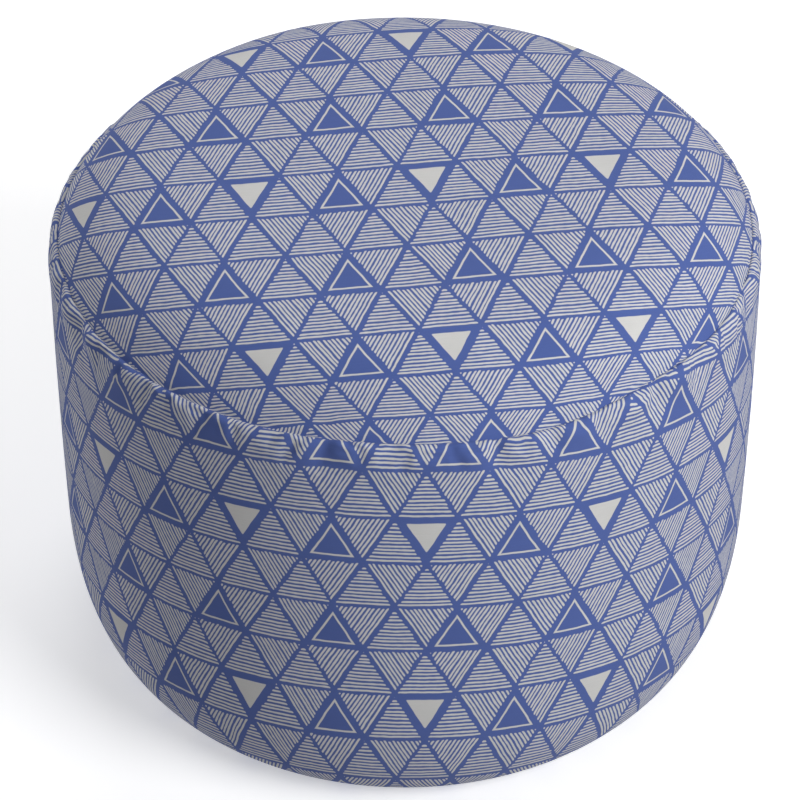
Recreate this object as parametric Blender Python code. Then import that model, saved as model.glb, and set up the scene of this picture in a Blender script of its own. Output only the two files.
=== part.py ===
# A round floor pouf: a filled side band sewn between a crowned top panel and a flat base panel.
# Units are metres, +Z is up, and the origin is the middle of the base.
import math

import bmesh
import bpy

# Driving dimensions
WIDEST_RADIUS = 0.360        # the wall at its fullest
SHOULDER_HEIGHT = 0.162      # where the wall starts to round under
BASE_RADIUS = 0.299          # the sewn circle of the base panel
RIM_ROLL_HEIGHT = 0.022      # how far down the puffed rim reaches
RIM_OUTER_RADIUS = 0.3545    # the wall where the rim starts to roll in
RIM_TOP_RADIUS = 0.3462      # the highest line of the rim
SEAM_RADIUS = 0.344          # the sewn circle of the top panel
SEAM_HEIGHT = 0.4897
RIM_RISE = 0.0015            # the rim stands this much above the seam
CROWN_RISE = 0.0648          # the plump edge of the top panel above its seam
CROWN_DOME = 0.008           # and the slow rise from there to its middle
PANEL_THICKNESS = 0.0025
FIT_GAP = 0.0003             # between pieces that touch

# How full the curves are
CROWN_FLATNESS = 8.0         # higher keeps the top flat for longer before it rolls down
CROWN_SHOULDER = 1.1         # higher makes the roll at the seam tighter
ROUND_UNDER_FULLNESS = 2.23  # 2 is an ellipse, more is squarer

# How finely the pieces are divided
SEGMENTS = 120
CROWN_RINGS = 8
CROWN_RING_CROWDING = 1.7    # higher crowds the rings towards the seam
ROUND_UNDER_STEPS = 7
WALL_STEPS = 4
RIM_STEPS = 5

# The gathers along the top seam that show most, by degrees from the front towards +X
SHOWN_GATHERS = [
    {"angle": -72.0, "depth": 0.0035, "half_width": 3.0},
    {"angle": -63.0, "depth": 0.0060, "half_width": 3.0},
    {"angle": -54.5, "depth": 0.0030, "half_width": 2.8},
    {"angle": -44.0, "depth": 0.0050, "half_width": 3.0},
    {"angle": -32.0, "depth": 0.0030, "half_width": 2.8},
    {"angle": -12.0, "depth": 0.0050, "half_width": 2.8},
    {"angle": -1.5, "depth": 0.0025, "half_width": 2.6},
    {"angle": 6.5, "depth": 0.0025, "half_width": 2.6},
    {"angle": 13.5, "depth": 0.0060, "half_width": 2.8},
    {"angle": 22.5, "depth": 0.0035, "half_width": 2.8},
    {"angle": 31.5, "depth": 0.0030, "half_width": 2.8},
    {"angle": 42.0, "depth": 0.0055, "half_width": 3.0},
    {"angle": 52.0, "depth": 0.0035, "half_width": 2.8},
    {"angle": 71.0, "depth": 0.0045, "half_width": 3.2},
]
# Past those, the gathers run on round the sides and back at about this spacing
HIDDEN_GATHER_START = 84.0
HIDDEN_GATHER_END = 280.0
HIDDEN_GATHER_SPACING = 10.5
HIDDEN_GATHER_DEPTH = 0.0038
HIDDEN_GATHER_HALF_WIDTH = 3.0

# Where a gather bites, as depths below the top of the rim
GATHER_DEEPEST = 0.012
GATHER_LENGTH = 0.034
RIM_DIP_SHARE = 0.35         # share of a gather's depth that also lowers the rim
RIM_PINCH_SHARE = 0.25       # share of it that draws the top of the rim inwards

# Slow unevenness of the stuffing
WALL_WAVE = 0.0022
TOP_WAVE = 0.0022
RIM_LEAN = 0.0015            # the seam and the rim stand a little higher on one side
RIM_LEAN_TOWARDS = 40.0      # degrees from the front towards +X
SEAM_LIFTS = [
    {"angle": 42.0, "height": 0.0040, "half_width": 11.0},
    {"angle": 22.0, "height": -0.0025, "half_width": 9.0},
    {"angle": -6.0, "height": 0.0020, "half_width": 9.0},
    {"angle": -74.0, "height": 0.0030, "half_width": 10.0},
    {"angle": 118.0, "height": 0.0025, "half_width": 14.0},
    {"angle": 205.0, "height": 0.0030, "half_width": 16.0},
]
LIFT_DOWN_WALL = 0.080       # a lift of the seam fades out over this much of the wall
LIFT_FADE_ON_TOP = 8.0       # higher keeps it nearer the edge of the top panel


def clear_objects():
    for item in list(bpy.data.objects):
        bpy.data.objects.remove(item, do_unlink=True)


def fabric(name, color, roughness):
    material = bpy.data.materials.new(name)
    material.use_nodes = True
    shader = material.node_tree.nodes["Principled BSDF"]
    shader.inputs["Base Color"].default_value = (*color, 1.0)
    shader.inputs["Roughness"].default_value = roughness
    shader.inputs["Metallic"].default_value = 0.0
    return material


def all_gathers():
    gathers = list(SHOWN_GATHERS)
    count = int((HIDDEN_GATHER_END - HIDDEN_GATHER_START) / HIDDEN_GATHER_SPACING) + 1
    for index in range(count):
        gathers.append({
            "angle": HIDDEN_GATHER_START + HIDDEN_GATHER_SPACING * index + 2.2 * math.sin(2.4 * index),
            "depth": HIDDEN_GATHER_DEPTH * (1.0 + 0.4 * math.sin(1.7 * index)),
            "half_width": HIDDEN_GATHER_HALF_WIDTH,
        })
    return gathers


def gather_depth(angle, gathers):
    # Angle is in radians from the front, growing towards +X
    depth = 0.0
    for gather in gathers:
        away = math.degrees(angle) - gather["angle"]
        away = (away + 180.0) % 360.0 - 180.0
        depth += gather["depth"] * math.exp(-(away / gather["half_width"]) ** 2)
    return depth


def wall_wave(angle, height):
    # Only even waves, so that the widest points stay level about the axis
    share = math.sin(math.pi * min(max(height / SEAM_HEIGHT, 0.0), 1.0))
    wave = 0.6 * math.sin(2.0 * angle + 0.7) + 0.4 * math.sin(4.0 * angle + 2.1)
    return WALL_WAVE * share * wave


def seam_lift(angle):
    # How much fuller or emptier places raise or lower the seam
    lift = RIM_LEAN * math.cos(angle - math.radians(RIM_LEAN_TOWARDS))
    for place_of_lift in SEAM_LIFTS:
        away = math.degrees(angle) - place_of_lift["angle"]
        away = (away + 180.0) % 360.0 - 180.0
        lift += place_of_lift["height"] * math.exp(-(away / place_of_lift["half_width"]) ** 2)
    return lift


def wall_lift(angle, height):
    share = max(0.0, 1.0 - max(SEAM_HEIGHT - height, 0.0) / LIFT_DOWN_WALL)
    return seam_lift(angle) * share ** 2


def panel_lift(angle, radius):
    return seam_lift(angle) * (radius / SEAM_RADIUS) ** LIFT_FADE_ON_TOP


def top_wave(x, y):
    # Slow hollows and rises, gone at the seam
    inside = max(0.0, 1.0 - (math.hypot(x, y) / SEAM_RADIUS) ** 2)
    return TOP_WAVE * inside * (math.sin(9.0 * x + 5.0 * y + 0.4) + 0.6 * math.sin(14.0 * y - 8.0 * x))


def crown_height(radius):
    share = min(radius / SEAM_RADIUS, 1.0)
    edge = (1.0 - share ** CROWN_FLATNESS) ** (1.0 / CROWN_SHOULDER)
    return SEAM_HEIGHT + CROWN_RISE * edge + CROWN_DOME * (1.0 - share ** 2)


def crown_profile(depth):
    # The top panel's section from the axis to its seam, set in by a depth along its own normal
    points = []
    step = 1.0e-5
    for ring in range(CROWN_RINGS + 1):
        radius = SEAM_RADIUS * (1.0 - (1.0 - ring / CROWN_RINGS) ** CROWN_RING_CROWDING)
        before = max(radius - step, 0.0)
        slope = (crown_height(radius) - crown_height(before)) / step if ring else 0.0
        lean = math.atan(-slope) if ring < CROWN_RINGS else 0.5 * math.pi
        points.append((radius - depth * math.sin(lean), crown_height(radius) - depth * math.cos(lean)))
    return points


def place(radius, height, angle, wave):
    x = radius * math.sin(angle)
    y = -radius * math.cos(angle)
    lift = top_wave(x, y) + panel_lift(angle, radius) if wave else 0.0
    return (x, y, height + lift)


def underside_profile():
    # Round under from the base seam up to the shoulder
    floor = PANEL_THICKNESS + FIT_GAP
    power = 2.0 / ROUND_UNDER_FULLNESS
    points = []
    for step in range(ROUND_UNDER_STEPS + 1):
        turn = 0.5 * math.pi * (1.0 - step / ROUND_UNDER_STEPS)
        radius = BASE_RADIUS + (WIDEST_RADIUS - BASE_RADIUS) * max(math.cos(turn), 0.0) ** power
        height = SHOULDER_HEIGHT - (SHOULDER_HEIGHT - floor) * math.sin(turn) ** power
        points.append((radius, height))
    return points


def upright_profile():
    # The barrel of the wall between the shoulder and the rim
    roll_start = SEAM_HEIGHT + RIM_RISE - RIM_ROLL_HEIGHT
    points = []
    for step in range(1, WALL_STEPS + 1):
        share = step / WALL_STEPS
        height = SHOULDER_HEIGHT + (roll_start - SHOULDER_HEIGHT) * share
        points.append((WIDEST_RADIUS - (WIDEST_RADIUS - RIM_OUTER_RADIUS) * share ** 2, height))
    return points


def rim_profile():
    # The puffed rim, from its outer side over the top
    roll_start = SEAM_HEIGHT + RIM_RISE - RIM_ROLL_HEIGHT
    points = []
    for step in range(1, RIM_STEPS + 1):
        turn = 0.5 * math.pi * step / RIM_STEPS
        radius = RIM_TOP_RADIUS + (RIM_OUTER_RADIUS - RIM_TOP_RADIUS) * math.cos(turn)
        points.append((radius, roll_start + RIM_ROLL_HEIGHT * math.sin(turn)))
    return points


def gathered(radius, height, depth):
    # Draws the wall in under the rim and lowers the rim itself where the seam is gathered
    rim_top = SEAM_HEIGHT + RIM_RISE
    below = rim_top - height
    if below < GATHER_DEEPEST:
        bite = RIM_PINCH_SHARE + (1.0 - RIM_PINCH_SHARE) * below / GATHER_DEEPEST
    else:
        bite = max(0.0, 1.0 - (below - GATHER_DEEPEST) / (GATHER_LENGTH - GATHER_DEEPEST))
    near_rim = max(0.0, 1.0 - below / GATHER_DEEPEST)
    return radius - depth * bite, height - depth * RIM_DIP_SHARE * near_rim


def band_section(angle, gathers):
    # The whole section of the filled band at one angle, from under the base to under the top panel
    floor = PANEL_THICKNESS + FIT_GAP
    depth = gather_depth(angle, gathers)
    section = [(0.0, floor, False)]
    for radius, height in underside_profile() + upright_profile() + rim_profile():
        wave = wall_wave(angle, height)
        lift = wall_lift(angle, height)
        radius, height = gathered(radius, height, depth)
        section.append((radius + wave, height + lift, False))
    section.append((SEAM_RADIUS + FIT_GAP, SEAM_HEIGHT - FIT_GAP + seam_lift(angle), False))
    under_panel = crown_profile(PANEL_THICKNESS + FIT_GAP)
    under_panel[-1] = (SEAM_RADIUS - PANEL_THICKNESS - FIT_GAP, SEAM_HEIGHT - FIT_GAP)
    for radius, height in reversed(under_panel):
        section.append((radius, height, True))
    return section


def top_section(angle, gathers):
    section = [(radius, height, True) for radius, height in crown_profile(PANEL_THICKNESS)]
    section += [(radius, height, True) for radius, height in reversed(crown_profile(0.0))]
    return section


def base_section(angle, gathers):
    return [
        (0.0, 0.0, False),
        (BASE_RADIUS, 0.0, False),
        (BASE_RADIUS, PANEL_THICKNESS, False),
        (0.0, PANEL_THICKNESS, False),
    ]


def turned_piece(name, section_at, gathers, material):
    # Joins the sections round the axis; the first and the last point of each lie on the axis
    mesh = bpy.data.meshes.new(name)
    work = bmesh.new()
    rows = []
    for segment in range(SEGMENTS):
        angle = 2.0 * math.pi * segment / SEGMENTS
        section = section_at(angle, gathers)
        if not rows:
            first = work.verts.new(place(0.0, section[0][1], 0.0, section[0][2]))
            last = work.verts.new(place(0.0, section[-1][1], 0.0, section[-1][2]))
        inner = [work.verts.new(place(radius, height, angle, wave)) for radius, height, wave in section[1:-1]]
        rows.append([first] + inner + [last])
    for segment in range(SEGMENTS):
        here = rows[segment]
        beyond = rows[(segment + 1) % SEGMENTS]
        for low in range(len(here) - 1):
            corners = [here[low], beyond[low], beyond[low + 1], here[low + 1]]
            if low == 0:
                corners = [here[0], beyond[1], here[1]]
            elif low == len(here) - 2:
                corners = [here[low], beyond[low], here[-1]]
            work.faces.new(corners)
    bmesh.ops.triangulate(work, faces=work.faces[:], quad_method="SHORT_EDGE")
    bmesh.ops.recalc_face_normals(work, faces=work.faces[:])
    work.to_mesh(mesh)
    work.free()
    mesh.shade_smooth()
    mesh.set_sharp_from_angle(angle=math.radians(50.0))
    mesh.materials.append(material)
    piece = bpy.data.objects.new(name, mesh)
    bpy.context.collection.objects.link(piece)
    return piece


def build():
    clear_objects()
    gathers = all_gathers()
    top_cloth = fabric("top_cloth", (0.09, 0.13, 0.42), 0.9)
    side_cloth = fabric("side_cloth", (0.08, 0.12, 0.38), 0.9)
    base_cloth = fabric("base_cloth", (0.07, 0.10, 0.33), 0.9)
    turned_piece("side_band", band_section, gathers, side_cloth)
    turned_piece("top_panel", top_section, gathers, top_cloth)
    turned_piece("base_panel", base_section, gathers, base_cloth)


build()
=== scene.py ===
import math
import random

import bpy
import numpy as np
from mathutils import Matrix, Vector


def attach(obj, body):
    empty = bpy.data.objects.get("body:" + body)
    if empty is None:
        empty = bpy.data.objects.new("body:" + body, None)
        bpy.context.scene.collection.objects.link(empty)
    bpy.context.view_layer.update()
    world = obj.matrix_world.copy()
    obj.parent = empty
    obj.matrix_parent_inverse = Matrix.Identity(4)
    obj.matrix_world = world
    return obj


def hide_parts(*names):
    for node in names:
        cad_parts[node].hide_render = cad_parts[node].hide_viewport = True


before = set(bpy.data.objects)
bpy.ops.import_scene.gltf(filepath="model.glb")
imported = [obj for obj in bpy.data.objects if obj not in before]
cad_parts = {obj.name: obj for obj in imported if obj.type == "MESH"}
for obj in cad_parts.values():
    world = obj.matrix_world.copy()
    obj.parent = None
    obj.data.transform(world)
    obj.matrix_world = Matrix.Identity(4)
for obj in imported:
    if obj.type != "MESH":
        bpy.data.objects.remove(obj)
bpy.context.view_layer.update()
print("frame loaded:", ", ".join(sorted(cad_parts)))

scene = bpy.context.scene
scene.view_settings.view_transform = "Standard"

# The filled body, in metres, as the solids have it. Angles grow from the front (-Y) towards +X.
body = {
    "widestRadius": 0.360,
    "shoulderHeight": 0.162,      # the wall is widest here
    "baseRadius": 0.299,
    "roundUnder": 2.23,           # fullness of the turn under
    "rimOuterRadius": 0.3545,
    "rimTopRadius": 0.3462,
    "rimRollHeight": 0.022,
    "rimRise": 0.0008,            # rim above the seam
    "seamRadius": 0.344,
    "seamHeight": 0.4897,
    "crownRise": 0.0648,          # the plump edge of the top
    "crownFlatness": 8.0,
    "crownShoulder": 1.1,
    "crownDome": 0.008,           # and the slow rise to its middle
    "flatMiddle": 0.01,           # out to here the crown counts as flat
    "clothThickness": 0.0025,
    "fitGap": 0.0003,
    "wallWave": 0.0022,           # slow unevenness of the stuffing
    "wallSwells": [(2, 0.7, 0.6), (4, 2.1, 0.4)],               # times round, start, share
    "topWave": 0.0022,
    "topSwells": [(9, 5, 0.4, 1.0), (-8, 14, 0.0, 0.6)],        # along X, along Y, start, share
    "rimLean": 0.0015,            # seam and rim stand a little higher on one side
    "rimLeanTowards": math.radians(40),
    # fuller and emptier places along the seam: angle, height mm, half width
    "seamLifts": [
        (42, 4.0, 11), (22, -2.5, 9), (-6, 2.0, 9), (-74, 3.0, 10), (118, 2.5, 14), (205, 3.0, 16),
    ],
    "liftDownWall": 0.080,
    "liftFadeOnTop": 8.0,
}
rimTopHeight = body["seamHeight"] + body["rimRise"]
rollStart = rimTopHeight - body["rimRollHeight"]
bodyFloor = body["clothThickness"] + body["fitGap"]


def around(angle, radius, height):
    return Vector((radius * math.sin(angle), -radius * math.cos(angle), height))


def angleFrom(angle, other):
    # shortest way round, in radians
    return (angle - other + math.pi) % (2 * math.pi) - math.pi


def smooth(value):
    value = min(max(value, 0.0), 1.0)
    return value * value * (3 - 2 * value)


def crownHeight(radius):
    share = min(radius / body["seamRadius"], 1.0)
    rise = max(1 - share ** body["crownFlatness"], 0.0) ** (1 / body["crownShoulder"])
    return body["seamHeight"] + body["crownRise"] * rise + body["crownDome"] * (1 - share ** 2)


# the crown's curve in small steps: radii, and the cloth's length from the middle to each
crownSteps = 600
crownFine = [
    body["seamRadius"] * math.sin(math.pi / 2 * step / crownSteps) for step in range(crownSteps + 1)
]
crownAlong = [0.0]
for inner, outer in zip(crownFine, crownFine[1:]):
    crownAlong.append(crownAlong[-1] + math.hypot(outer - inner, crownHeight(outer) - crownHeight(inner)))


def crownReach(radius):
    # how many times longer the cloth is than the radius
    if radius < body["flatMiddle"]:
        return 1.0
    if radius >= crownFine[-1]:
        return (crownAlong[-1] + radius - crownFine[-1]) / radius
    index = min(int(math.asin(radius / crownFine[-1]) * 2 / math.pi * crownSteps), crownSteps - 1)
    share = (radius - crownFine[index]) / (crownFine[index + 1] - crownFine[index])
    return (crownAlong[index] + (crownAlong[index + 1] - crownAlong[index]) * share) / radius


def crownWave(x, y):
    edge = 1 - (x * x + y * y) / body["seamRadius"] ** 2
    swell = 0.0
    for alongX, alongY, start, share in body["topSwells"]:
        swell += share * math.sin(alongX * x + alongY * y + start)
    return body["topWave"] * edge * swell


def seamLift(angle):
    lift = body["rimLean"] * math.cos(angle - body["rimLeanTowards"])
    for towards, height, halfWidth in body["seamLifts"]:
        away = math.degrees(angleFrom(angle, math.radians(towards))) / halfWidth
        lift += height / 1000 * math.exp(-away * away)
    return lift


def wallLift(angle, height):
    share = max(0.0, 1 - max(body["seamHeight"] - height, 0.0) / body["liftDownWall"])
    return seamLift(angle) * share ** 2


def topLift(angle, radius):
    return seamLift(angle) * min(radius / body["seamRadius"], 1.0) ** body["liftFadeOnTop"]


def wallWave(angle, height):
    swell = sum(share * math.sin(times * angle + start) for times, start, share in body["wallSwells"])
    return body["wallWave"] * math.sin(math.pi * height / body["seamHeight"]) * swell


# Gathers where the wall is drawn onto the top disc: angle, depth mm, half width, length mm, step.
# A step lifts the rim on one side of the fold and lowers it on the other.
gathers = {
    "shown": [
        (-72, 2.5, 2.6, 36, 0.6), (-63, 4.5, 2.6, 44, 0.9), (-54.5, 2.5, 2.2, 30, 0.9),
        (-44, 4.0, 2.6, 40, 0.8), (-32, 2.5, 2.4, 32, 0.7), (-12, 5.0, 2.2, 38, 0.1),
        (-1.5, 2.5, 1.9, 30, -0.2), (6.5, 2.5, 1.9, 28, 0.1), (13.5, 6.0, 2.0, 40, 0.2),
        (22.5, 3.5, 2.1, 32, -0.3), (31.5, 3.0, 2.4, 36, -0.9), (42, 5.5, 2.5, 44, -0.9),
        (52, 3.5, 2.5, 40, -0.8), (71, 4.5, 2.8, 46, -0.8),
    ],
    "shownSlant": (-0.5, 0.5),    # half widths that a fold runs sideways on its way down
    "hiddenFrom": 84.0,           # the rest of the way round, in degrees
    "hiddenTo": 280.0,
    "hiddenEvery": 10.5,
    "hiddenShift": (2.2, 2.4),    # degrees off the even spacing, and how fast this changes
    "hiddenDepth": 2.8,
    "hiddenUneven": (0.4, 1.7),   # share of the depth, and how fast this changes
    "hiddenHalfWidth": (2.0, 3.0),
    "hiddenLength": (28, 46),
    "hiddenStep": (-0.8, 0.8),
    "hiddenSlant": (-0.6, 0.6),
    "calm": 0.75,                 # the rim lies smoother where it turns away at the two sides
    "calmTowards": 102,
    "calmHalfWidth": 28,
    "fineCount": 150,             # small ripples between the gathers
    "fineShift": (-0.4, 0.4),
    "fineDepth": (0.10, 0.40),
    "fineHalfWidth": (0.55, 1.1),
    "fineLength": (10, 24),
    "fineStep": (-0.5, 0.5),
    "fineSlant": (-1, 1),
    "seed": 12,
}

# One fold's section, in half widths and shares of its depth
foldForm = {
    "narrow": 0.7,                # half widths at the rim, and how many more at its lower end
    "spread": 0.5,
    "felt": 5,                    # half widths over which it reaches
    "shoulder": 0.28,             # the cloth stands out on both sides of the dent
    "shoulderAt": 1.9,
    "shoulderSharp": 1.6,
    "stepLift": 1.9,              # a step's lift, and how much of it also goes inward
    "stepInward": 0.35,
    "fade": 1.4,                  # higher lets the fold end sooner
    "rimDrop": 0.4,               # share of the depth that lowers the rim
    "rimDropReach": 0.016,
    "rimDraw": 0.25,              # share of it at the very top of the rim
    "rimDrawReach": 0.011,
}


def calmness(angle):
    away = (abs(math.degrees(angleFrom(angle, 0.0))) - gathers["calmTowards"]) / gathers["calmHalfWidth"]
    return 1 - gathers["calm"] * math.exp(-away * away)


def allGathers():
    chance = random.Random(gathers["seed"])

    def drawn(*names):
        return tuple(chance.uniform(*gathers[name]) for name in names)

    rows = []
    for shown in gathers["shown"]:
        rows.append(shown + drawn("shownSlant"))
    count = int((gathers["hiddenTo"] - gathers["hiddenFrom"]) / gathers["hiddenEvery"]) + 1
    shift, shiftPace = gathers["hiddenShift"]
    uneven, unevenPace = gathers["hiddenUneven"]
    for index in range(count):
        angle = gathers["hiddenFrom"] + gathers["hiddenEvery"] * index + shift * math.sin(shiftPace * index)
        depth = gathers["hiddenDepth"] * (1 + uneven * math.sin(unevenPace * index))
        depth *= calmness(math.radians(angle))
        rows.append((angle, depth) + drawn("hiddenHalfWidth", "hiddenLength", "hiddenStep", "hiddenSlant"))
    for index in range(gathers["fineCount"]):
        angle = 360 * (index + chance.uniform(*gathers["fineShift"])) / gathers["fineCount"]
        rows.append((angle,) + drawn("fineDepth", "fineHalfWidth", "fineLength", "fineStep", "fineSlant"))
    return [{
        "angle": math.radians(angle),
        "depth": depth / 1000,
        "halfWidth": math.radians(halfWidth),
        "length": length / 1000,
        "step": step,
        "slant": slant,
    } for angle, depth, halfWidth, length, step, slant in rows]


folds = allGathers()


def foldsNear(angle):
    felt = foldForm["felt"]
    return [fold for fold in folds if abs(angleFrom(angle, fold["angle"])) < felt * fold["halfWidth"]]


def foldAt(near, angle, below):
    # how far the cloth is drawn in, and how far it drops, at a distance below the top of the rim
    inward = 0.0
    drop = 0.0
    along = foldForm["rimDraw"] + (1 - foldForm["rimDraw"]) * smooth(below / foldForm["rimDrawReach"])
    atRim = foldForm["rimDrop"] * max(0.0, 1 - below / foldForm["rimDropReach"])
    for fold in near:
        downFold = below / fold["length"]
        centre = fold["angle"] + fold["slant"] * fold["halfWidth"] * downFold
        spread = fold["halfWidth"] * (foldForm["narrow"] + foldForm["spread"] * downFold)
        across = angleFrom(angle, centre) / spread
        dent = math.exp(-across * across)
        fromShoulder = abs(across) - foldForm["shoulderAt"]
        shoulders = foldForm["shoulder"] * math.exp(-foldForm["shoulderSharp"] * fromShoulder ** 2)
        lift = foldForm["stepLift"] * across * dent * fold["step"]
        reach = max(0.0, 1 - downFold) ** foldForm["fade"]
        inward += fold["depth"] * (dent - shoulders + foldForm["stepInward"] * lift) * along * reach
        drop += fold["depth"] * (dent + lift) * atRim
    return inward, drop


sideBand = {
    "columns": 480,
    "closingSeam": math.pi,       # the band's ends meet at the back
    "closingSeamDepth": 0.0016,
    "closingSeamHalfWidth": math.radians(0.18),
    "closingSeamBelow": 0.02,     # it comes in below the rim
    "closingSeamColumns": (0.08, 0.18, 0.30, 0.46),
    "pucker": 0.35,               # share of the seam's depth
    "puckerHalfWidth": math.radians(1.5),
    "puckerPace": 260,            # radians for each metre down the wall
    "beadSteps": 5,
    "rimSteps": 14,
    "wallStep": 0.006,
    "underSteps": 30,
    "capRings": 9,
    "capCrowding": 1.6,           # higher crowds the rings towards the seam
    "fill": 0.9,
}


def bandProfile():
    # (radius, height) from the top seam over the rim and down to the base seam
    points = []
    seamRadius = body["seamRadius"] + body["fitGap"]
    seamHeight = body["seamHeight"] - body["fitGap"]
    steps = sideBand["beadSteps"]
    for step in range(steps):
        turn = math.pi / 2 * step / steps
        points.append((seamRadius + (body["rimTopRadius"] - seamRadius) * (1 - math.cos(turn)),
                       seamHeight + (rimTopHeight - seamHeight) * math.sin(turn)))
    steps = sideBand["rimSteps"]
    overhang = body["rimOuterRadius"] - body["rimTopRadius"]
    for step in range(steps):
        turn = math.pi / 2 * (1 - step / steps)
        points.append((body["rimTopRadius"] + overhang * math.cos(turn),
                       rollStart + body["rimRollHeight"] * math.sin(turn)))
    wallHeight = rollStart - body["shoulderHeight"]
    steps = round(wallHeight / sideBand["wallStep"])
    for step in range(steps):
        share = 1 - step / steps
        points.append((body["widestRadius"] - (body["widestRadius"] - body["rimOuterRadius"]) * share ** 2,
                       body["shoulderHeight"] + wallHeight * share))
    steps = sideBand["underSteps"]
    power = 2 / body["roundUnder"]
    for step in range(steps + 1):
        turn = math.pi / 2 * step / steps
        across = math.cos(turn) ** power
        down = math.sin(turn) ** power
        points.append((body["baseRadius"] + (body["widestRadius"] - body["baseRadius"]) * across,
                       body["shoulderHeight"] - (body["shoulderHeight"] - bodyFloor) * down))
    return points


def distances(points, start):
    # distance along the profile, nought at the start index
    along = [0.0]
    for (r0, z0), (r1, z1) in zip(points, points[1:]):
        along.append(along[-1] + math.hypot(r1 - r0, z1 - z0))
    return [value - along[start] for value in along]


def bandColumns():
    angles = [2 * math.pi * index / sideBand["columns"] - math.pi for index in range(sideBand["columns"])]
    for offset in sideBand["closingSeamColumns"]:
        angles.append(-math.pi + math.radians(offset))
        angles.append(math.pi - math.radians(offset))
    return sorted(angles)


def closingSeam(angle, below):
    # a fine drawn-in line with small puckers beside it
    away = angleFrom(angle, sideBand["closingSeam"])
    line = math.exp(-(away / sideBand["closingSeamHalfWidth"]) ** 2)
    pucker = sideBand["pucker"] * math.exp(-(away / sideBand["puckerHalfWidth"]) ** 2)
    pucker *= 1 + math.sin(sideBand["puckerPace"] * below)
    return sideBand["closingSeamDepth"] * (line + pucker)


def bandPoint(angle, radius, height, below, near):
    inward, drop = foldAt(near, angle, max(below, 0.0))
    radius -= inward
    if below > 0:
        radius -= closingSeam(angle, below) * smooth(below / sideBand["closingSeamBelow"])
        radius += wallWave(angle, height)
    else:
        drop *= max(0.0, (height - body["seamHeight"]) / body["rimRise"])
    return around(angle, radius, height + wallLift(angle, height) - drop)


def meshPiece(name, points, faces, uvs):
    # uvs holds one pair for each corner of each face, in triangle bases and rows of the print
    mesh = bpy.data.meshes.new(name)
    mesh.from_pydata(points, [], faces)
    layer = mesh.uv_layers.new(name="printRepeat")
    corner = 0
    for face in uvs:
        for u, v in face:
            layer.data[corner].uv = (u, v)
            corner += 1
    for polygon in mesh.polygons:
        polygon.use_smooth = True
    mesh.validate()
    piece = bpy.data.objects.new(name, mesh)
    scene.collection.objects.link(piece)
    return piece


# How the print lies on the cloth. The chart repeats every 6 bases and 4 rows.
printLay = {
    "base": 0.0587,               # one triangle's base
    "row": 0.0560,
    "topBaseStep": (0.05741, 0.00767),      # along a row of the top, X and Y
    "topRowStep": (0.00512, -0.06341),      # from a row to the next one nearer the front
    "topStart": (-0.00805, -0.01159),
    "topEase": 1.0,               # rows set closer down the crown's edge at front and sides
    "topEaseFades": (95, 150),    # degrees from the front
    "wallBases": 36,              # round the wall, a whole number of repeats
    "wallFrontBunching": 0.199,   # the columns are a little narrower at front and back
    "wallStartBase": 0.17,
    "wallStartRow": -1.0,
    "wallFirstRow": 0.025,        # below the rim
    "wallRow": 0.0550,
    "wallRowOpening": 2.1e-6,     # rows open up where the wall turns under
    "wallBow": 0.065,             # the rows hang lower at the sides than at front and back
    "wallTilt": 0.006,            # and a little lower on the right than on the left
    "wallSlip": 0.05,             # rows by which the print misses itself at the closing seam
}


def topPrint(x, y):
    # the disc keeps its lengths from the middle out, so the print doesn't smear down the crown's edge
    ax, ay = printLay["topBaseStep"]
    bx, by = printLay["topRowStep"]
    startX, startY = printLay["topStart"]
    radius = math.hypot(x, y)
    reach = crownReach(radius)
    first, last = printLay["topEaseFades"]
    away = abs(math.degrees(math.atan2(x, -y)))
    eased = printLay["topEase"] * (1 - smooth((away - first) / (last - first)))
    eased *= crownHeight(0) - crownHeight(radius)
    dx = x * reach - startX
    dy = y * reach - eased - startY
    size = ax * by - ay * bx
    return (dx * by - dy * bx) / size, -(ax * dy - ay * dx) / size


def wallPrint(angle, below):
    turns = angle / (2 * math.pi)
    base = printLay["wallStartBase"] + printLay["wallBases"] * turns
    base += printLay["wallFrontBunching"] * math.sin(2 * angle)
    below -= printLay["wallBow"] * math.sin(angle) ** 2 + printLay["wallTilt"] * math.sin(angle)
    below -= printLay["wallFirstRow"]
    pitch = printLay["wallRow"]
    opening = printLay["wallRowOpening"]
    row = below / pitch
    for step in range(6):         # closes in on the row that lies at this distance
        row -= (pitch * row + opening * row ** 5 - below) / (pitch + 5 * opening * row ** 4)
    return base, -(row + printLay["wallStartRow"] + printLay["wallSlip"] * turns)


def topPrints(points, face):
    return [topPrint(points[index].x, points[index].y) for index in face]


# The wall's top is simulated as cloth on an even grid, from the top seam down
settle = {
    "columns": 480,
    "step": 0.0042,
    "reach": 0.115,               # down to here, from the rim
    "frames": 20,
    "quality": 5,
    "pressure": 60.0,
    "mass": 0.01,
    "stretch": 15.0,
    "shear": 8.0,
    "bending": 0.6,
    "spare": 0.045,               # cloth that the gathers take up
    "spareReach": 0.045,
    "cap": 0.005,                 # the largest move that is kept
}


def gridFaces(columns, rows):
    # column by column; the last one closes onto the first
    faces = []
    for column in range(columns):
        here = column * rows
        after = (column + 1) % columns * rows
        for row in range(rows - 1):
            faces.append((here + row, here + row + 1, after + row + 1, after + row))
    return faces


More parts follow.
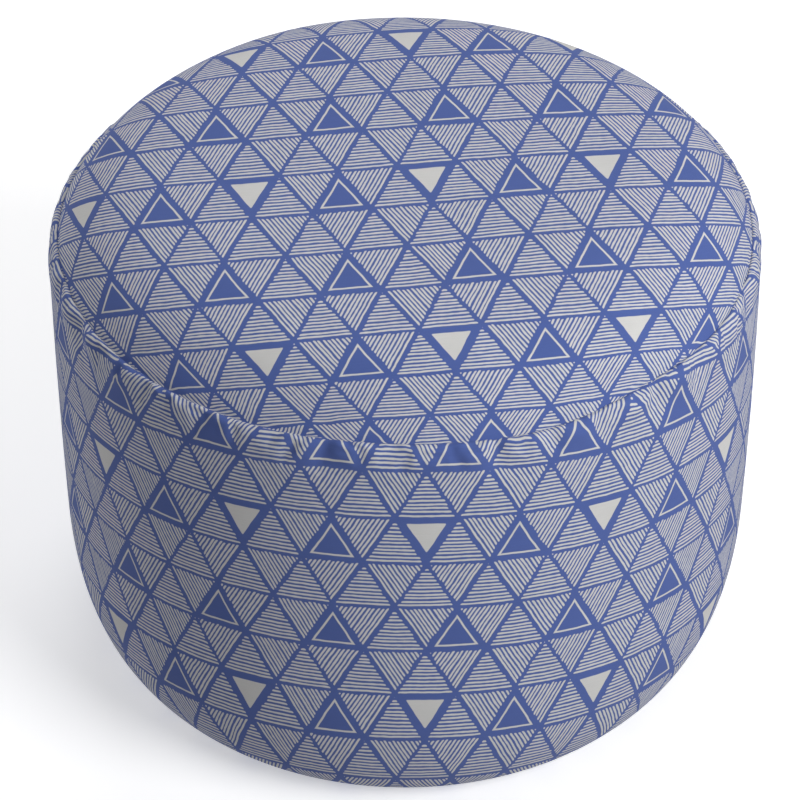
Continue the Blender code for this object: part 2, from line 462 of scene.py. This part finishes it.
def putUnderPressure(trial, spots, columns):
    # held along both edges, with the spare length near the rim
    rows = len(spots)
    held = trial.vertex_groups.new(name="held")
    taut = trial.vertex_groups.new(name="taut")
    for row, below in enumerate(spots):
        ring = list(range(row, rows * columns, rows))
        if row in (0, rows - 1):
            held.add(ring, 1.0, "REPLACE")
        taut.add(ring, 1 - math.exp(-(max(below, 0.0) / settle["spareReach"]) ** 2), "REPLACE")
    swell = trial.modifiers.new("swell", "CLOTH")
    swell.settings.quality = settle["quality"]
    swell.settings.mass = settle["mass"]
    swell.settings.tension_stiffness = settle["stretch"]
    swell.settings.compression_stiffness = settle["stretch"]
    swell.settings.shear_stiffness = settle["shear"]
    swell.settings.bending_stiffness = settle["bending"]
    swell.settings.use_pressure = True
    swell.settings.uniform_pressure_force = settle["pressure"]
    swell.settings.vertex_group_mass = "held"
    swell.settings.vertex_group_shrink = "taut"
    swell.settings.shrink_min = -settle["spare"]
    swell.settings.shrink_max = 0.0
    swell.settings.effector_weights.gravity = 0.0
    swell.collision_settings.use_collision = False
    swell.point_cache.frame_start = 1
    swell.point_cache.frame_end = settle["frames"]


def settleWall():
    # The stuffing presses the wall out and its spare cloth puckers under the rim. Only the
    # unevenness is kept, outward, sideways and up, so the pouf keeps its measured outline.
    profile = bandProfile()
    along = distances(profile, sideBand["beadSteps"])
    spots = np.arange(along[0], settle["reach"], settle["step"])
    radii = np.interp(spots, along, [radius for radius, height in profile])
    heights = np.interp(spots, along, [height for radius, height in profile])
    rows = len(spots)
    columns = settle["columns"]
    angles = [2 * math.pi * column / columns - math.pi for column in range(columns)]
    points = []
    for angle in angles:
        near = foldsNear(angle)
        for radius, height, below in zip(radii, heights, spots):
            points.append(bandPoint(angle, radius, height, below, near))
    mesh = bpy.data.meshes.new("trial")
    mesh.from_pydata(points, [], gridFaces(columns, rows))
    trial = bpy.data.objects.new("trial", mesh)
    scene.collection.objects.link(trial)
    putUnderPressure(trial, spots, columns)
    for frameNumber in range(1, settle["frames"] + 1):
        scene.frame_set(frameNumber)
    result = trial.evaluated_get(bpy.context.evaluated_depsgraph_get()).to_mesh()
    after = np.empty(len(points) * 3)
    result.vertices.foreach_get("co", after)
    scene.frame_set(1)
    bpy.data.objects.remove(trial, do_unlink=True)

    moved = after.reshape(columns, rows, 3) - np.array(points).reshape(columns, rows, 3)
    sine = np.sin(angles)[:, None]
    cosine = np.cos(angles)[:, None]
    out = moved[:, :, 0] * sine - moved[:, :, 1] * cosine
    aside = moved[:, :, 0] * cosine + moved[:, :, 1] * sine
    print("wall swelled by", round(1000 * float(out.mean()), 1), "mm, uneven by",
          round(1000 * float((out - out.mean(axis=0)).std()), 2), "mm")
    field = np.stack([out, aside, moved[:, :, 2]], axis=2)
    field -= field.mean(axis=0)
    length = np.linalg.norm(field, axis=2, keepdims=True)
    return field * np.tanh(length / settle["cap"]) * settle["cap"] / np.maximum(length, 1e-9)


def cubic(values, share):
    # Catmull-Rom through the middle two of four neighbours
    a, b, c, d = values
    return b + 0.5 * share * (c - a + share * (2 * a - 5 * b + 4 * c - d + share * (3 * (b - c) + d - a)))


def settledMove(field, angle, along):
    # the cloth's own move at one angle, for all distances from the seam at once
    columns, rows = field.shape[:2]
    place = (angle + math.pi) / (2 * math.pi) * columns
    column = math.floor(place)
    strip = cubic([field[(column + step) % columns] for step in (-1, 0, 1, 2)], place - column)
    place = np.clip(along / settle["step"], 0, rows - 1.001)            # stays above the last row
    row = np.floor(place).astype(int)
    near = [strip[np.clip(row + step, 0, rows - 1)] for step in (-1, 0, 1, 2)]
    moved = cubic(near, (place - row)[:, None])
    moved[along / settle["step"] > rows - 1] = 0.0
    return moved


def bandPoints(angles, profile, below):
    # the wall's points, column by column, with the cloth's own unevenness
    field = settleWall()
    points = []
    for angle in angles:
        near = foldsNear(angle)
        column = [bandPoint(angle, radius, height, distance, near)
                  for (radius, height), distance in zip(profile, below)]
        if field is not None:
            moves = settledMove(field, angle, np.array(below) - below[0]) * calmness(angle)
            for point, (out, aside, up) in zip(column, moves):
                point += around(angle, out, up) + Vector((math.cos(angle), math.sin(angle), 0)) * aside
        points += column
    return points


def capRings():
    # (radius, height) of the filling's top, just inside the top disc
    inset = body["clothThickness"] + body["fitGap"]
    capRadius = body["seamRadius"] - inset
    rings = [(capRadius, body["seamHeight"] - body["clothThickness"])]
    for ring in range(1, sideBand["capRings"]):
        share = 1 - (ring / sideBand["capRings"]) ** sideBand["capCrowding"]
        rings.append((capRadius * share, crownHeight(body["seamRadius"] * share) - inset))
    return rings


def buildSideBand():
    profile = bandProfile()
    below = distances(profile, sideBand["beadSteps"])
    angles = bandColumns()
    rows = len(profile)
    columns = len(angles)
    points = bandPoints(angles, profile, below)
    faces = gridFaces(columns, rows)
    prints = [[wallPrint(angle, distance) for distance in below] for angle in angles + [math.pi]]
    uvs = []
    for here, after in zip(prints, prints[1:]):
        for row in range(rows - 1):
            uvs.append((here[row], here[row + 1], after[row + 1], after[row]))
    # the filled body closes under the top disc and over the base disc
    previous = [column * rows for column in range(columns)]
    for radius, height in capRings():
        current = list(range(len(points), len(points) + columns))
        for angle in angles:
            spot = around(angle, radius, height)
            spot.z += crownWave(spot.x, spot.y) + topLift(angle, radius)
            points.append(spot)
        for column in range(columns):
            nextColumn = (column + 1) % columns
            faces.append((previous[column], previous[nextColumn], current[nextColumn], current[column]))
        previous = current
    faces.append(tuple(previous))
    faces.append(tuple(column * rows + rows - 1 for column in reversed(range(columns))))
    uvs += [topPrints(points, face) for face in faces[len(uvs):]]
    return meshPiece("sideBand", points, faces, uvs)


topPanel = {
    "rings": 80,
    "crowding": 1.5,              # higher crowds the rings towards the seam
    "pullDepth": 0.0012,          # short pulls in the disc at the gathers
    "pullLength": 0.030,
    "pullFrom": 0.012,            # a gather counts with its depth this far below the rim
    "pullFull": 0.004,            # and pulls in full from this depth on
    "seamFlat": 0.006,            # the stitches hold the disc down beside the seam
    "thickness": 0.0022,
}


def crownRadii():
    # ring radii along the crown's curve, each with its distance from the seam
    radii = []
    index = 0
    for ring in range(topPanel["rings"] + 1):
        wanted = crownAlong[-1] * (1 - (1 - ring / topPanel["rings"]) ** topPanel["crowding"])
        while index < crownSteps - 1 and crownAlong[index + 1] < wanted:
            index += 1
        share = (wanted - crownAlong[index]) / (crownAlong[index + 1] - crownAlong[index])
        radii.append((crownFine[index] + (crownFine[index + 1] - crownFine[index]) * share,
                      crownAlong[-1] - wanted))
    return radii


def discFaces(rings):
    # triangles from the middle point out; ring k has 6k points
    faces = []
    innerStart = 0
    for ring in range(1, rings + 1):
        inner = max(6 * (ring - 1), 1)
        outer = 6 * ring
        outerStart = innerStart + inner
        for side in range(6):
            for index in range(ring):
                a = outerStart + (side * ring + index) % outer
                b = outerStart + (side * ring + index + 1) % outer
                c = innerStart + (side * (ring - 1) + index) % inner
                faces.append((a, b, c))
                if index < ring - 1:
                    d = innerStart + (side * (ring - 1) + index + 1) % inner
                    faces.append((b, d, c))
        innerStart = outerStart
    return faces


def buildTopPanel():
    points = []
    for ring, (radius, fromSeam) in enumerate(crownRadii()):
        count = max(6 * ring, 1)
        held = smooth(fromSeam / topPanel["seamFlat"])
        height = body["seamHeight"] + (crownHeight(radius) - body["seamHeight"]) * held
        for index in range(count):
            angle = 2 * math.pi * index / count - math.pi
            spot = around(angle, radius, height)
            spot.z += crownWave(spot.x, spot.y) + topLift(angle, radius)
            if fromSeam < topPanel["pullLength"]:
                inward = foldAt(foldsNear(angle), angle, topPanel["pullFrom"])[0]
                pull = min(inward / topPanel["pullFull"], 1.0) * topPanel["pullDepth"]
                spot.z -= pull * math.sin(math.pi * fromSeam / topPanel["pullLength"])
            points.append(spot)
    faces = discFaces(topPanel["rings"])
    uvs = [topPrints(points, face) for face in faces]
    piece = meshPiece("topPanel", points, faces, uvs)
    thick = piece.modifiers.new("clothThickness", "SOLIDIFY")
    thick.thickness = topPanel["thickness"]
    thick.offset = -1
    return piece


basePanel = {
    "rings": 24,
    "innerRings": 4,              # on its upper side, which doesn't show
    "columns": 192,
    "edgeRound": 0.0012,
    "upperRound": (0.0006, 0.0004),         # in from the edge and down
}


def buildBasePanel():
    # a thin round of plain cloth, flat on the floor
    full = body["baseRadius"]
    thickness = body["clothThickness"]
    edge = basePanel["edgeRound"]
    inward, down = basePanel["upperRound"]
    rings = basePanel["rings"]
    innerRings = basePanel["innerRings"]
    section = [(full * ring / rings, 0.0) for ring in range(1, rings)]
    section += [(full - edge, 0.0), (full, edge), (full, thickness - down), (full - inward, thickness)]
    section += [(full * ring / innerRings, thickness) for ring in range(innerRings - 1, 0, -1)]
    columns = basePanel["columns"]
    points = [Vector((0, 0, 0))]
    for radius, height in section:
        points += [around(2 * math.pi * column / columns, radius, height) for column in range(columns)]
    points.append(Vector((0, 0, thickness)))
    faces = []
    for column in range(columns):
        after = (column + 1) % columns
        faces.append((0, 1 + column, 1 + after))
        for ring in range(len(section) - 1):
            first = 1 + ring * columns
            second = first + columns
            faces.append((first + column, second + column, second + after, first + after))
        last = 1 + (len(section) - 1) * columns
        faces.append((last + column, len(points) - 1, last + after))
    uvs = [topPrints(points, face) for face in faces]
    return meshPiece("basePanel", points, faces, uvs)


class Nodes:
    # short way to wire maths nodes: numbers and sockets mix freely
    def __init__(self, tree):
        self.tree = tree

    def add(self, kind, **settings):
        node = self.tree.nodes.new(kind)
        for key, value in settings.items():
            setattr(node, key, value)
        return node

    def put(self, socket, value):
        if isinstance(value, bpy.types.NodeSocket):
            self.tree.links.new(value, socket)
        else:
            socket.default_value = value

    def calc(self, operation, *values):
        node = self.add("ShaderNodeMath", operation=operation)
        for socket, value in zip(node.inputs, values):
            self.put(socket, value)
        return node.outputs[0]

    def pick(self, switch, no, yes):
        return self.calc("MULTIPLY_ADD", switch, self.calc("SUBTRACT", yes, no), no)

    def vary(self, chance, amount, value):
        # the value, up to the amount more or less, as chance runs from 0 to 1
        return self.calc("MULTIPLY_ADD", self.calc("SUBTRACT", chance, 0.5), 2 * amount, value)

    def length(self, x, y):
        return self.calc("SQRT", self.calc("ADD", self.calc("MULTIPLY", x, x), self.calc("MULTIPLY", y, y)))

    def same(self, value, target):
        # 1 where the two agree, for values that move in halves
        return self.calc("COMPARE", value, target, 0.1)

    def soft(self, value, edge, blur):
        # 1 below the edge, 0 above it, with a soft step
        node = self.add("ShaderNodeMapRange", interpolation_type="SMOOTHSTEP")
        self.put(node.inputs["Value"], value)
        self.put(node.inputs["From Min"], self.calc("SUBTRACT", edge, blur))
        self.put(node.inputs["From Max"], self.calc("ADD", edge, blur))
        self.put(node.inputs["To Min"], 1.0)
        self.put(node.inputs["To Max"], 0.0)
        return node.outputs["Result"]

    def combine(self, x, y, z):
        node = self.add("ShaderNodeCombineXYZ")
        for socket, value in zip(node.inputs, (x, y, z)):
            self.put(socket, value)
        return node.outputs[0]

    def split(self, vector):
        node = self.add("ShaderNodeSeparateXYZ")
        self.put(node.inputs[0], vector)
        return node.outputs

    def noise(self, vector, scale, detail):
        node = self.add("ShaderNodeTexNoise", noise_dimensions="2D")
        self.put(node.inputs["Vector"], vector)
        self.put(node.inputs["Scale"], scale)
        self.put(node.inputs["Detail"], detail)
        return node.outputs


# The hand-drawn print, in shares of a triangle's height
hatch = {
    "lines": 12,
    "upFirst": 0.052,             # first line's middle, from the side it runs along
    "upPitch": 0.0805,
    "downFirst": 0.080,
    "downPitch": 0.0745,
    "halfWidth": 0.0203,
    "endInset": 0.056,
    "endRagged": 0.014,
    "lineRagged": 0.007,
    "widthRagged": 0.25,          # in shares of the line's width
    "pressScale": 9.0,            # how often the width changes, in waves for each base
    "wobble": 0.015,              # in bases, either way
    "wobbleScale": 2.6,
    "filledInset": 0.120,
    "filledRound": 0.05,
    "outlineInset": 0.113,
    "outlineHalfWidth": 0.0200,
    "blur": 0.006,
}


def triangleAt(n, x, y):
    # which row, how far up in it, how far along the triangle's side, and its middle's place
    rows = n.calc("MULTIPLY", y, -1.0)
    row = n.calc("FLOOR", rows)
    up = n.calc("SUBTRACT", 1.0, n.calc("SUBTRACT", rows, row))
    offset = n.calc("MULTIPLY_ADD", row, 0.5, 0.5)
    slid = n.calc("MULTIPLY_ADD", up, 0.5, n.calc("SUBTRACT", x, offset))
    column = n.calc("FLOOR", slid)
    side = n.calc("SUBTRACT", slid, column)
    isUp = n.calc("GREATER_THAN", side, up)
    centre = n.calc("ADD", n.calc("ADD", column, offset), n.calc("MULTIPLY", isUp, 0.5))
    return row, up, side, isUp, centre


def chartAt(n, row, centre, isUp):
    # rows 0 and 2 of four hold the accents, every second or third triangle along them
    ofFour = n.calc("FLOORED_MODULO", row, 4.0)
    atThree = n.calc("FLOORED_MODULO", centre, 3.0)
    atTwo = n.calc("FLOORED_MODULO", centre, 2.0)
    filledRow = n.same(ofFour, 0.0)
    outlinedRow = n.same(ofFour, 2.0)
    isDown = n.calc("SUBTRACT", 1.0, isUp)
    filled = n.calc("MULTIPLY", n.calc("MULTIPLY", isDown, filledRow), n.same(atThree, 0.5))
    outlined = n.calc("ADD", n.calc("MULTIPLY", filledRow, n.same(atThree, 2.0)),
                      n.calc("MULTIPLY", outlinedRow, n.same(atTwo, 1.0)))
    outlined = n.calc("MULTIPLY", isUp, outlined)
    # which way the lines of a downward triangle lean
    slash = n.pick(filledRow, n.calc("GREATER_THAN", atTwo, 0.75), n.calc("GREATER_THAN", atThree, 2.0))
    return filled, outlined, slash


def heightsAt(n, up, side, isUp, slash):
    # height from the side that the lines follow, and from the other two sides
    upLeft = n.calc("SUBTRACT", side, up)
    upRight = n.calc("SUBTRACT", 1.0, side)
    downRight = n.calc("SUBTRACT", up, side)
    downTop = n.calc("SUBTRACT", 1.0, up)
    height = n.pick(isUp, n.pick(slash, side, downRight), up)
    first = n.pick(isUp, downTop, upLeft)
    second = n.pick(isUp, n.pick(slash, downRight, side), upRight)
    return height, first, second


def hatchedLines(n, heights, isUp, centre, row, press):
    # the nearest of the twelve lines, each a little off in place, width and ends
    height, first, second = heights
    start = n.pick(isUp, hatch["downFirst"], hatch["upFirst"])
    pitch = n.pick(isUp, hatch["downPitch"], hatch["upPitch"])
    line = n.calc("ROUND", n.calc("DIVIDE", n.calc("SUBTRACT", height, start), pitch))
    line = n.calc("MINIMUM", n.calc("MAXIMUM", line, 0.0), hatch["lines"] - 1.0)
    chance = n.add("ShaderNodeTexWhiteNoise", noise_dimensions="3D")
    n.put(chance.inputs["Vector"], n.combine(n.calc("MULTIPLY", centre, 2.0), row, line))
    odds = n.split(chance.outputs["Color"])
    middle = n.vary(odds[0], hatch["lineRagged"], n.calc("MULTIPLY_ADD", line, pitch, start))
    across = n.calc("ABSOLUTE", n.calc("SUBTRACT", height, middle))
    firstEnd = n.calc("SUBTRACT", first, n.vary(odds[1], hatch["endRagged"], hatch["endInset"]))
    secondEnd = n.calc("SUBTRACT", second, n.vary(odds[2], hatch["endRagged"], hatch["endInset"]))
    past = n.calc("MINIMUM", n.calc("MINIMUM", firstEnd, secondEnd), 0.0)
    halfWidth = n.calc("MULTIPLY", hatch["halfWidth"], n.vary(press, hatch["widthRagged"], 1.0))
    return n.soft(n.length(across, past), halfWidth, hatch["blur"])


def filledTriangle(n, height, first, second):
    # solid, with rounded corners
    nearest = n.calc("SMOOTH_MIN", height, first, hatch["filledRound"])
    nearest = n.calc("SMOOTH_MIN", nearest, second, hatch["filledRound"])
    return n.soft(n.calc("SUBTRACT", hatch["filledInset"], nearest), 0.0, hatch["blur"])


def outlinedTriangle(n, height, first, second):
    # a thin line at an even distance from the three sides
    nearest = n.calc("MINIMUM", n.calc("MINIMUM", height, first), second)
    away = n.calc("ABSOLUTE", n.calc("SUBTRACT", nearest, hatch["outlineInset"]))
    return n.soft(away, hatch["outlineHalfWidth"], hatch["blur"])


def printGroup():
    # ink = 1 where the off-white is printed, 0 on the blue ground
    group = bpy.data.node_groups.new("hatchedTriangles", "ShaderNodeTree")
    group.interface.new_socket("Vector", in_out="INPUT", socket_type="NodeSocketVector")
    group.interface.new_socket("Ink", in_out="OUTPUT", socket_type="NodeSocketFloat")
    n = Nodes(group)
    vector = n.add("NodeGroupInput").outputs[0]
    output = n.add("NodeGroupOutput").inputs[0]

    # the hand's wobble and its uneven pressure
    plain = n.split(vector)
    shake = n.split(n.noise(vector, hatch["wobbleScale"], 2.0)["Color"])
    x = n.vary(shake[0], hatch["wobble"], plain[0])
    y = n.vary(shake[1], hatch["wobble"], plain[1])
    press = n.noise(vector, hatch["pressScale"], 1.0)["Fac"]

    row, up, side, isUp, centre = triangleAt(n, x, y)
    filled, outlined, slash = chartAt(n, row, centre, isUp)
    heights = heightsAt(n, up, side, isUp, slash)
    ink = hatchedLines(n, heights, isUp, centre, row, press)
    ink = n.pick(filled, ink, filledTriangle(n, *heights))
    ink = n.pick(outlined, ink, outlinedTriangle(n, *heights))
    n.put(output, ink)
    return group


cloth = {
    "ground": (0.079, 0.124, 0.356),
    "ink": (0.62, 0.615, 0.60),
    "plain": (0.071, 0.112, 0.324),
    "roughness": 0.86,
    "inkSmoother": 0.05,          # the ink is a little less rough
    "sheen": 0.05,
    "sheenRoughness": 0.5,
    "specular": 0.15,
    "thread": 0.00070,            # pitch of the weave
    "weaveHeight": 0.00010,
    "weaveStrength": 0.6,
    "gapPaintedShade": 0.90,              # painted shade: colour in the gaps between threads
    "crestPaintedLight": 0.16,           # and how much lighter the painted shade leaves a thread's crest
    "slubScale": (0.02, 0.6),     # thick places in the yarn, along it and across
    "slubTone": 0.05,
    "slubRoughness": 0.08,
    "slubHeight": 0.8,            # in shares of a thread
    "mottle": 0.05,
    "mottleScale": 1.3,
}


def weaveHeight(n, x, y):
    # over and under threads of a plain weave, from coordinates in threads
    warp = n.calc("ABSOLUTE", n.calc("SINE", n.calc("MULTIPLY", x, math.pi)))
    weft = n.calc("ABSOLUTE", n.calc("SINE", n.calc("MULTIPLY", y, math.pi)))
    over = n.calc("FLOORED_MODULO", n.calc("ADD", n.calc("FLOOR", x), n.calc("FLOOR", y)), 2.0)
    return n.pick(n.calc("GREATER_THAN", over, 0.5), warp, weft)


def clothMaterial(name, printed):
    material = bpy.data.materials.new(name)
    material.use_nodes = True
    tree = material.node_tree
    n = Nodes(tree)
    shader = tree.nodes["Principled BSDF"]
    n.put(shader.inputs["Metallic"], 0.0)
    n.put(shader.inputs["Sheen Weight"], cloth["sheen"])
    n.put(shader.inputs["Sheen Roughness"], cloth["sheenRoughness"])
    n.put(shader.inputs["Specular IOR Level"], cloth["specular"])

    uv = n.add("ShaderNodeUVMap", uv_map="printRepeat").outputs[0]
    sides = n.split(uv)
    threads = (n.calc("MULTIPLY", sides[0], printLay["base"] / cloth["thread"]),
               n.calc("MULTIPLY", sides[1], printLay["row"] / cloth["thread"]))
    weave = weaveHeight(n, *threads)
    along, across = [n.calc("MULTIPLY", *pair) for pair in zip(threads, cloth["slubScale"])]
    slub = n.noise(n.combine(along, across, 0.0), 1.0, 2.0)["Fac"]
    cloud = n.noise(uv, cloth["mottleScale"], 3.0)["Fac"]

    if printed:
        pattern = n.add("ShaderNodeGroup", node_tree=inkPattern)
        n.put(pattern.inputs[0], uv)
        mix = n.add("ShaderNodeMix", data_type="RGBA")
        n.put(mix.inputs["Factor"], pattern.outputs[0])
        n.put(mix.inputs["A"], (*cloth["ground"], 1.0))
        n.put(mix.inputs["B"], (*cloth["ink"], 1.0))
        colour = mix.outputs["Result"]
        rough = n.calc("MULTIPLY_ADD", pattern.outputs[0], -cloth["inkSmoother"], cloth["roughness"])
    else:
        colour = cloth["plain"]
        rough = cloth["roughness"]

    # slow fading, slubs and painted shade darkening the gaps between threads
    tone = n.calc("MULTIPLY", n.vary(cloud, cloth["mottle"], 1.0), n.vary(slub, cloth["slubTone"], 1.0))
    # painted shade from the weave's height: darker in the gaps, lighter on the crests
    tone = n.calc("MULTIPLY", tone, n.calc("MULTIPLY_ADD", weave, cloth["crestPaintedLight"], cloth["gapPaintedShade"]))
    shade = n.add("ShaderNodeVectorMath", operation="SCALE")
    n.put(shade.inputs[0], colour)
    n.put(shade.inputs["Scale"], tone)
    n.put(shader.inputs["Base Color"], shade.outputs[0])
    n.put(shader.inputs["Roughness"], n.calc("MULTIPLY_ADD", slub, cloth["slubRoughness"], rough))

    bump = n.add("ShaderNodeBump")
    n.put(bump.inputs["Strength"], cloth["weaveStrength"])
    n.put(bump.inputs["Distance"], cloth["weaveHeight"])
    n.put(bump.inputs["Height"], n.calc("MULTIPLY_ADD", slub, cloth["slubHeight"], weave))
    n.put(shader.inputs["Normal"], bump.outputs[0])
    return material


inkPattern = printGroup()
pieces = [
    (buildTopPanel(), "top_panel", "top_cloth", clothMaterial("topCloth", True)),
    (buildSideBand(), "side_band", "side_cloth", clothMaterial("sideCloth", True)),
    (buildBasePanel(), "base_panel", "base_cloth", clothMaterial("baseCloth", False)),
]
for piece, node, slot, material in pieces:
    piece.data.materials.append(material)
    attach(piece, "root")
    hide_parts(node)
    print("made", piece.name, "with", len(piece.data.polygons), "faces")

studio = {
    "floorSize": 40.0,
    "floorDrop": 0.0003,          # keeps the floor clear of the base's underside
    "floorColour": (0.90, 0.90, 0.90),
    "floorRoughness": 0.9,
    "floorSpecular": 0.1,
    "floorGlow": 0.38,            # a lit table, so the ground stays white
    "farGlow": 1.0,               # past the lamps' reach it glows more
    "farFrom": 2.6,               # metres from the middle, half way through the change
    "farBlur": 1.2,
    "worldColour": (0.97, 0.97, 1.0),
    "backdropStrength": 1.0,      # what the camera sees of it
    "upperStrength": 0.25,
    "lowerStrength": 0.43,
    # soft lamps: name, direction from the front, height angle, distance, size, watts
    "lamps": [
        ("key", 50, 35, 3.0, 1.6, 66),
        ("back", 180, 50, 3.0, 2.2, 29),
        ("left", -120, 15, 3.0, 2.2, 24),
    ],
    "lampAim": (0, 0, 0.3),
    "cameraAim": (-0.0050, 0.0, 0.2549),
    "cameraDistance": 2.901,
    "lookDown": math.radians(40.03),
    "lens": 124.33,
}


def layFloor():
    side = studio["floorSize"] / 2
    mesh = bpy.data.meshes.new("floor")
    corners = [(-side, -side, 0), (side, -side, 0), (side, side, 0), (-side, side, 0)]
    mesh.from_pydata(corners, [], [(0, 1, 2, 3)])
    floor = bpy.data.objects.new("floor", mesh)
    floor.location.z = -studio["floorDrop"]
    scene.collection.objects.link(floor)
    paint = bpy.data.materials.new("floorPaint")
    paint.use_nodes = True
    shader = paint.node_tree.nodes["Principled BSDF"]
    n = Nodes(paint.node_tree)
    n.put(shader.inputs["Base Color"], (*studio["floorColour"], 1.0))
    n.put(shader.inputs["Roughness"], studio["floorRoughness"])
    n.put(shader.inputs["Specular IOR Level"], studio["floorSpecular"])
    n.put(shader.inputs["Emission Color"], (1.0, 1.0, 1.0, 1.0))
    across = n.split(n.add("ShaderNodeTexCoord").outputs["Object"])
    near = n.soft(n.length(across[0], across[1]), studio["farFrom"], studio["farBlur"])
    n.put(shader.inputs["Emission Strength"], n.pick(near, studio["farGlow"], studio["floorGlow"]))
    mesh.materials.append(paint)
    floor.visible_diffuse = False           # it throws no light back up at the cloth


def lightStudio():
    world = bpy.data.worlds.new("studio")
    scene.world = world
    world.use_nodes = True
    background = world.node_tree.nodes["Background"]
    n = Nodes(world.node_tree)
    n.put(background.inputs["Color"], (*studio["worldColour"], 1.0))
    # the lower half stands in for what a pale floor throws back
    upward = n.split(n.add("ShaderNodeTexCoord").outputs["Generated"])[2]
    strength = n.pick(n.calc("GREATER_THAN", upward, 0.0), studio["lowerStrength"], studio["upperStrength"])
    seen = n.add("ShaderNodeLightPath").outputs["Is Camera Ray"]
    n.put(background.inputs["Strength"], n.pick(seen, strength, studio["backdropStrength"]))

    aim = Vector(studio["lampAim"])
    for name, towards, climb, distance, size, power in studio["lamps"]:
        light = bpy.data.lights.new(name, "AREA")
        light.energy = power
        light.shape = "DISK"
        light.size = size
        lamp = bpy.data.objects.new(name, light)
        climb = math.radians(climb)
        place = around(math.radians(towards), distance * math.cos(climb), distance * math.sin(climb))
        lamp.location = aim + place
        lamp.rotation_euler = (aim - lamp.location).to_track_quat("-Z", "Y").to_euler()
        scene.collection.objects.link(lamp)


def buildCamera():
    camera = bpy.data.cameras.new("camera")
    camera.lens = studio["lens"]
    holder = bpy.data.objects.new("camera", camera)
    aim = Vector(studio["cameraAim"])
    back = Vector((0, -math.cos(studio["lookDown"]), math.sin(studio["lookDown"])))
    holder.location = aim + back * studio["cameraDistance"]
    holder.rotation_euler = (math.pi / 2 - studio["lookDown"], 0, 0)
    scene.collection.objects.link(holder)
    scene.camera = holder


layFloor()
lightStudio()
buildCamera()
print("studio and camera placed")
